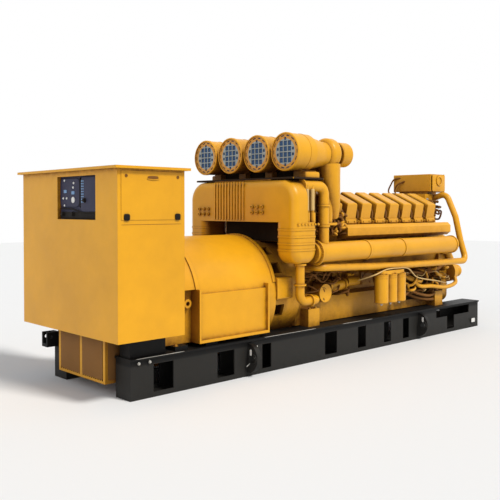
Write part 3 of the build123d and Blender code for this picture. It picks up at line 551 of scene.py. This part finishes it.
DOWNPIPE_SAMPLES = 64
downpipe = [(-0.19, -0.715, 2.36), (-0.19, -0.735, 2.20), (-0.17, -0.745, 2.00), (-0.13, -0.735, 1.84),
            (-0.09, -0.70, 1.70)]
tubes("turbo_downpipes", both([downpipe]), np.linspace(0.150, 0.068, DOWNPIPE_SAMPLES), yellow_paint,
      samples=DOWNPIPE_SAMPLES, around=32)
eyelet_rows = ((-0.346, 1.840), (0.625, 1.815), (-0.346, 1.775), (0.625, 1.750))
eyelets = [(-1.0295, y + step, z) for y, z in eyelet_rows for step in (-0.085, 0, 0.085)]
turned("housing_eyelets", eyelets, REAR,
       [(0, 0.020), (0.014, 0.020), (0.018, 0.017), (0.018, 0.011), (0.004, 0.009)])
bolts("elbow_top_bolts", both(grid(np.linspace(-0.95, -0.62, 7), [-0.9345], [1.640])), OUT_NEAR, 0.013)
bolts("elbow_flange_bolts", both(circle((-0.571, -0.83, 1.305), OUT_FAR, UP, 0.133, 12)), REAR, 0.010)
# Painted highlight: pale sleeves over the two upright pipes on each side stand in for the light that
# polished metal catches
uprights = [[(x, -0.88, z) for z in (1.79, 1.92, 2.05)] for x in (-0.758, -0.663)]
tubes("upright_pipes_painted_highlight", both(uprights), 0.0265, pale_line)
tubes("regulator_hoses_near", [
    [(-0.33, -0.62, 1.78), (-0.20, -0.66, 1.72), (-0.08, -0.66, 1.64), (0.06, -0.62, 1.70),
     (0.10, -0.50, 1.78)],
    [(-0.34, -0.60, 1.56), (-0.18, -0.68, 1.60), (0.02, -0.68, 1.56), (0.06, -0.66, 1.66),
     (0.04, -0.52, 1.76)],
    [(-0.30, -0.50, 1.66), (-0.24, -0.64, 1.62), (-0.10, -0.66, 1.55), (0.04, -0.66, 1.60),
     (0.09, -0.64, 1.72)]], 0.017)
turned("regulator_body", both([(-0.13, -0.52, 1.45)]), UP,
       [(0, 0.055), (0.05, 0.055), (0.058, 0.040), (0.10, 0.040), (0.11, 0.060), (0.15, 0.060),
        (0.16, 0.030)])

# Engine: bolts and feet of the covers, ignition leads, harnesses and the pipes between the banks

ROCKER_FOOT_HEIGHT = 1.655
bolts("rocker_foot_bolts", both(grid(beside_cylinders(0.060), [-0.684], [ROCKER_FOOT_HEIGHT])), OUT_NEAR,
      0.011)
slabs("rocker_feet", both(grid(CYLINDERS, [-0.664], [ROCKER_FOOT_HEIGHT])), ON_NEAR, (0.098, 0.030), 0.020,
      power=5.0, rim=0.6)
leads = [[(x, -0.655, 1.68), (x + 0.012, -0.635, 1.80), (x, -0.50, 1.895), (x - 0.01, -0.34, 1.955),
          (x, -0.20, 1.86)] for x in BETWEEN_CYLINDERS]
tubes("ignition_leads", both(leads), 0.014, brown_hose, samples=32, around=10)
bolts("crankcase_cover_bolts", both(grid(beside_cylinders(0.085), [-0.452], [0.83, 0.98])), OUT_NEAR, 0.011)
tubes("side_harnesses", both([
    [(-0.38, -0.60, 1.085), (0.10, -0.62, 1.070), (0.60, -0.625, 1.085), (1.20, -0.62, 1.060),
     (1.80, -0.63, 1.050), (2.40, -0.60, 1.03)],
    [(-0.36, -0.58, 1.045), (0.20, -0.60, 1.030), (0.70, -0.60, 1.050), (1.10, -0.60, 1.020),
     (1.70, -0.60, 1.010), (2.45, -0.58, 0.98)]]), 0.013, brown_hose, samples=90)
drops = [[(x, -0.60, 1.06), (x + 0.03, -0.585, 1.00), (x + 0.02, -0.52, 0.95), (x + 0.05, -0.47, 0.90)]
         for x in BETWEEN_CYLINDERS]
tubes("harness_drops", both(drops), 0.008, brown_hose, samples=24, around=8)

VALLEY_Y, VALLEY_HEIGHT, VALLEY_RADIUS = 0.11, 1.70, 0.034
valley = [[(x, y, z) for x in (-0.10, 0.80, 1.70, 2.50)]
          for y, z in ((-VALLEY_Y, VALLEY_HEIGHT), (VALLEY_Y, VALLEY_HEIGHT), (0.0, 1.66))]
tubes("valley_pipes", valley, VALLEY_RADIUS, yellow_paint, samples=24)
turned("valley_joints", grid([0.40, 1.20, 2.00], [-VALLEY_Y, VALLEY_Y], [VALLEY_HEIGHT]), FRONT,
       band(VALLEY_RADIUS, 0.046, 0.030), hexagon=(1, 2))

# Oil filters: bolts, bands, plugs and the line over them

FILTERS = [(x, -0.85) for x in (0.703, 0.894, 1.085)]
filter_rings = [circle((x, y, 0.973), FRONT, OUT_FAR, 0.080, 8, first=0.2) for x, y in FILTERS]
bolts("filter_top_bolts", np.concatenate(filter_rings), UP, 0.010)
turned("filter_bands", [(x, y, z) for x, y in FILTERS for z in (0.925, 0.955)], UP,
       band(0.088, 0.094, 0.011), around=48)
turned("filter_plugs", [(x, y, 0.603) for x, y in FILTERS], DOWN,
       [(0, 0.024), (0.012, 0.024), (0.016, 0.014), (0.030, 0.014)], zinc, hexagon=(2, 3))
tubes("filter_pale_line", [
    [(0.46, -0.66, 0.90), (0.542, -0.86, 0.975), (0.753, -0.90, 1.038), (1.02, -0.89, 1.040),
     (1.280, -0.86, 1.018), (1.547, -0.80, 0.895), (1.767, -0.76, 0.843), (2.271, -0.70, 0.769),
     (2.635, -0.63, 0.700)]], 0.009, pale_line, samples=90)

# Near side, low: hoses to the front pumps, the fittings behind them and the drain hoses at the flywheel

tubes("pump_hose_near", [
    [(1.50, -0.56, 0.90), (1.701, -0.64, 0.818), (1.84, -0.68, 0.727), (2.104, -0.69, 0.708),
     (2.463, -0.69, 0.666), (2.80, -0.66, 0.700), (2.88, -0.60, 0.80)]], 0.030, yellow_paint, samples=80)
tubes("low_hoses_near", [
    [(1.40, -0.52, 0.80), (1.55, -0.60, 0.72), (1.85, -0.62, 0.62), (2.15, -0.62, 0.56), (2.35, -0.60, 0.60),
     (2.60, -0.52, 0.70)],
    [(1.45, -0.52, 0.96), (1.70, -0.60, 0.93), (2.00, -0.62, 0.90), (2.30, -0.62, 0.92), (2.50, -0.60, 0.96),
     (2.66, -0.56, 0.98)],
    [(1.60, -0.52, 0.66), (1.90, -0.58, 0.55), (2.20, -0.60, 0.50), (2.40, -0.58, 0.50), (2.55, -0.54, 0.56),
     (2.64, -0.46, 0.62)]], 0.024, samples=70)
CRANKCASE_FACE = -0.428
fittings = [(1.40, CRANKCASE_FACE, 0.80), (1.45, CRANKCASE_FACE, 0.96), (1.62, -0.490, 0.66),
            (1.95, CRANKCASE_FACE, 0.88), (2.25, CRANKCASE_FACE, 0.80), (2.48, CRANKCASE_FACE, 0.86)]
turned("side_fittings_near", fittings, OUT_NEAR,
       [(0, 0.070), (0.03, 0.070), (0.035, 0.050), (0.08, 0.050), (0.09, 0.034), (0.12, 0.034)],
       hexagon=(2, 3))
tubes("drain_hoses_near", [
    [(-0.42, -0.56, 1.02), (-0.30, -0.62, 0.98), (-0.18, -0.62, 0.92), (-0.06, -0.60, 0.98),
     (0.00, -0.50, 1.03)],
    [(-0.44, -0.54, 0.80), (-0.30, -0.62, 0.82), (-0.20, -0.64, 0.86), (-0.08, -0.62, 0.78),
     (0.02, -0.50, 0.74)],
    [(-0.40, -0.52, 0.90), (-0.33, -0.60, 0.86), (-0.24, -0.62, 0.80), (-0.14, -0.60, 0.76),
     (-0.06, -0.48, 0.72)]], 0.011)


# Small hoses and lines crowded round the front pumps, the regulator and the water outlet, from fixed seeds

def crowd(name, seed, number, low, high, reach, radius, material):
    """Short hoses. Each starts at a seeded place on the inner face of the given box, ends within half the
    reach of it on the same face, and between the two comes out to the outer face with a small seeded sag."""
    sag_spread, outward_share, rise = 0.10, 0.3, 0.6
    rng = np.random.default_rng(seed)
    low, high = np.array(low), np.array(high)
    start = low + rng.random((number, 3)) * (high - low)
    start[:, 1] = high[1]
    end = np.clip(start + (rng.random((number, 3)) - 0.5) * reach, low, high)
    end[:, 1] = high[1]
    sag = (rng.random((number, 2, 3)) - 0.5) * sag_spread
    sag[:, :, 1] = -np.abs(sag[:, :, 1]) * outward_share
    outer = np.array([0, low[1] - high[1], 0])
    paths = [[a, a + outer * rise, (2 * a + b) / 3 + outer + s[0],
              (a + 2 * b) / 3 + outer + s[1], b + outer * rise, b] for a, b, s in zip(start, end, sag)]
    tubes(name, paths, radius, material, samples=40, around=10)


crowd("front_lines_brown", 11, 16, (1.38, -0.62, 0.60), (2.58, -0.43, 0.98), (0.9, 0, 0.35), 0.014,
      brown_hose)
crowd("front_lines_painted", 12, 14, (1.38, -0.66, 0.60), (2.60, -0.43, 0.98), (0.8, 0, 0.40), 0.019,
      yellow_paint)
crowd("front_lines_pale", 13, 6, (1.50, -0.67, 0.62), (2.60, -0.43, 0.92), (1.0, 0, 0.20), 0.007, pale_line)
crowd("regulator_lines", 14, 12, (-0.34, -0.72, 1.50), (0.16, -0.56, 1.76), (0.45, 0, 0.25), 0.015,
      brown_hose)
crowd("regulator_lines_painted", 15, 9, (-0.34, -0.73, 1.50), (0.14, -0.56, 1.74), (0.40, 0, 0.25), 0.018,
      yellow_paint)
crowd("rear_side_lines", 16, 12, (-0.44, -0.63, 0.72), (0.30, -0.43, 1.04), (0.6, 0, 0.3), 0.012, brown_hose)
crowd("outlet_lines", 17, 10, (2.56, -0.42, 1.66), (2.81, -0.296, 1.98), (0.25, 0, 0.3), 0.014, brown_hose)

# Front end: the junction box's lid, gland and leads, and the bolts of the outlet and the front cover

slabs("junction_lid", (2.817, -0.3562, 2.2075), ON_NEAR, (0.172, 0.126), 0.008, power=14.0)
turned("junction_gland", (2.82, -0.364, 2.245), OUT_NEAR,
       [(0, 0.078), (0.012, 0.078), (0.016, 0.066), (0.016, 0.054), (0.004, 0.050)], around=48)
tubes("junction_leads", [
    [(2.645, 0.20, 2.30), (2.60, 0.30, 2.28), (2.59, 0.36, 2.20), (2.58, 0.40, 2.10), (2.53, 0.32, 2.03),
     (2.56, 0.27, 1.95)],
    [(2.645, 0.12, 2.25), (2.58, 0.22, 2.20), (2.57, 0.27, 2.12), (2.56, 0.25, 2.05), (2.53, 0.20, 1.98),
     (2.56, 0.15, 1.92)]], 0.012, brown_hose)
bolts("outlet_bolts", both(grid([2.60, 2.78], [-0.300], [1.62, 1.80, 1.96])), OUT_NEAR, 0.016, zinc)
bolts("front_cover_bolts", both(grid([2.832], [-0.45], np.linspace(0.5, 1.35, 7))), FRONT, 0.014)

# Skid and inlet guard: rail bolts, blank tags, the wire at the lifting lug, the mesh and painted highlights
# along the flange's edge

bolts("rail_bolts", both(grid([-2.964, -2.838], [-RAIL_FACE], [0.352])), OUT_NEAR, 0.012, zinc)
slabs("lug_tags", [(-1.5545, -0.795, 0.27), (1.7055, -0.815, 0.28)], ON_REAR, (0.032, 0.014), 0.002,
      blank_tag)
slabs("rail_tag", (3.178, -RAIL_FACE, 0.109), ON_NEAR, (0.050, 0.030), 0.002, blank_tag)
tubes("lug_wire", [
    [(-1.415, -0.752, 0.325), (-1.45, -0.775, 0.27), (-1.487, -0.775, 0.20), (-1.53, -0.765, 0.15),
     (-1.577, -0.752, 0.113)]], 0.006, zinc)

GUARD_HEIGHT, GUARD_SIDE = 0.365, 0.4502
MESH_DEPTH, MESH_POWER = 0.002, 30.0
slabs("guard_mesh_rear", [(-3.1482, y, GUARD_HEIGHT) for y in (-0.214, 0.214)], ON_REAR, (0.200, 0.190),
      MESH_DEPTH, guard_mesh, power=MESH_POWER)
slabs("guard_mesh_near", (-2.958, -GUARD_SIDE, GUARD_HEIGHT), ON_NEAR, (0.160, 0.200),
      MESH_DEPTH, guard_mesh, power=MESH_POWER)
slabs("guard_mesh_far", (-2.958, GUARD_SIDE, GUARD_HEIGHT), ON_FAR, (0.200, 0.160),
      MESH_DEPTH, guard_mesh, power=MESH_POWER)

# Painted highlight: thin pale tubes along stretches of the near rail's upper flange edge stand in for the
# light that edge catches
FLANGE_EDGE = 0.7500
FLANGE_TOP = 0.397
highlight_stretches = ((-3.00, -2.42), (-1.30, -0.45), (0.05, 0.65))
tubes("flange_edge_highlights", [
    [(a, -FLANGE_EDGE, FLANGE_TOP), ((a + b) / 2, -RAIL_FACE, FLANGE_TOP), (b, -FLANGE_EDGE, FLANGE_TOP)]
    for a, b in highlight_stretches], 0.0028, zinc, samples=24, around=8)

# Near side and front: a dark sheet of painted shadow behind the low hoses, and the crank damper's bolts

slabs("front_side_painted_shadow", (2.00, -0.5005, 0.665), ON_NEAR, (0.58, 0.145), 0.004, painted_shade,
      power=9.0)
bolts("damper_bolts", circle((2.9615, 0, CRANK_HEIGHT), UP, OUT_FAR, 0.11, 8), FRONT, 0.016)


# The pale floor, the light and the camera

def floor():
    """A flat square at the skid's underside."""
    half = 30.0
    mesh = bpy.data.meshes.new("pale_floor")
    corners = [(-half, -half, 0), (half, -half, 0), (half, half, 0), (-half, half, 0)]
    mesh.from_pydata(corners, [], [(0, 1, 2, 3)])
    piece = bpy.data.objects.new("pale_floor", mesh)
    bpy.context.scene.collection.objects.link(piece)
    material = bpy.data.materials.new("pale_floor")
    material.use_nodes = True
    shader = material.node_tree.nodes["Principled BSDF"]
    shader.inputs["Base Color"].default_value = (0.85, 0.865, 0.88, 1)
    shader.inputs["Roughness"].default_value = 0.9
    shader.inputs["Specular IOR Level"].default_value = 0.1
    mesh.materials.append(material)


def background(tree, colour, strength):
    """One even background."""
    node = add(tree, "ShaderNodeBackground")
    node.inputs["Color"].default_value = (*colour, 1)
    node.inputs["Strength"].default_value = strength
    return node.outputs[0]


def world():
    """White to the camera, in reflections and through glass, and a soft pale sky for the light."""
    sky = bpy.data.worlds.new("soft_sky")
    sky.use_nodes = True
    tree = sky.node_tree
    tree.nodes.clear()
    path = add(tree, "ShaderNodeLightPath").outputs
    seen = maths(tree, "MAXIMUM", path["Is Camera Ray"],
                 maths(tree, "MAXIMUM", path["Is Glossy Ray"], path["Is Transmission Ray"]))
    choice = add(tree, "ShaderNodeMixShader")
    tree.links.new(seen, choice.inputs[0])
    tree.links.new(background(tree, (0.93, 0.96, 1.0), 0.38), choice.inputs[1])
    tree.links.new(background(tree, (1, 1, 1), 1.0), choice.inputs[2])
    tree.links.new(choice.outputs[0], add(tree, "ShaderNodeOutputWorld").inputs["Surface"])
    bpy.context.scene.world = sky


def sun(name, turn, energy, spread, color):
    """One sun; its turn and its spread are in degrees."""
    data = bpy.data.lights.new(name, "SUN")
    data.energy = energy
    data.angle = radians(spread)
    data.color = color
    piece = bpy.data.objects.new(name, data)
    piece.rotation_euler = [radians(a) for a in turn]
    bpy.context.scene.collection.objects.link(piece)


def camera():
    """The view of the photograph, as fitted to the straight edges in it."""
    data = bpy.data.cameras.new("photo_view")
    data.lens = 51.44
    data.sensor_width = 36.0
    data.shift_y = -0.0549
    data.clip_end = 200.0
    view = bpy.data.objects.new("photo_view", data)
    view.location = (-6.810, -6.370, 1.823)
    view.rotation_euler = (radians(88.86), 0.0, radians(-43.25))
    bpy.context.scene.collection.objects.link(view)
    bpy.context.scene.camera = view


floor()
world()
sun("key", turn=(40, 0, 12), energy=2.5, spread=12, color=(1.0, 0.96, 0.9))
sun("fill", turn=(62, 0, -72), energy=0.7, spread=50, color=(1.0, 0.97, 0.95))
camera()
bpy.context.scene.view_settings.view_transform = "Standard"
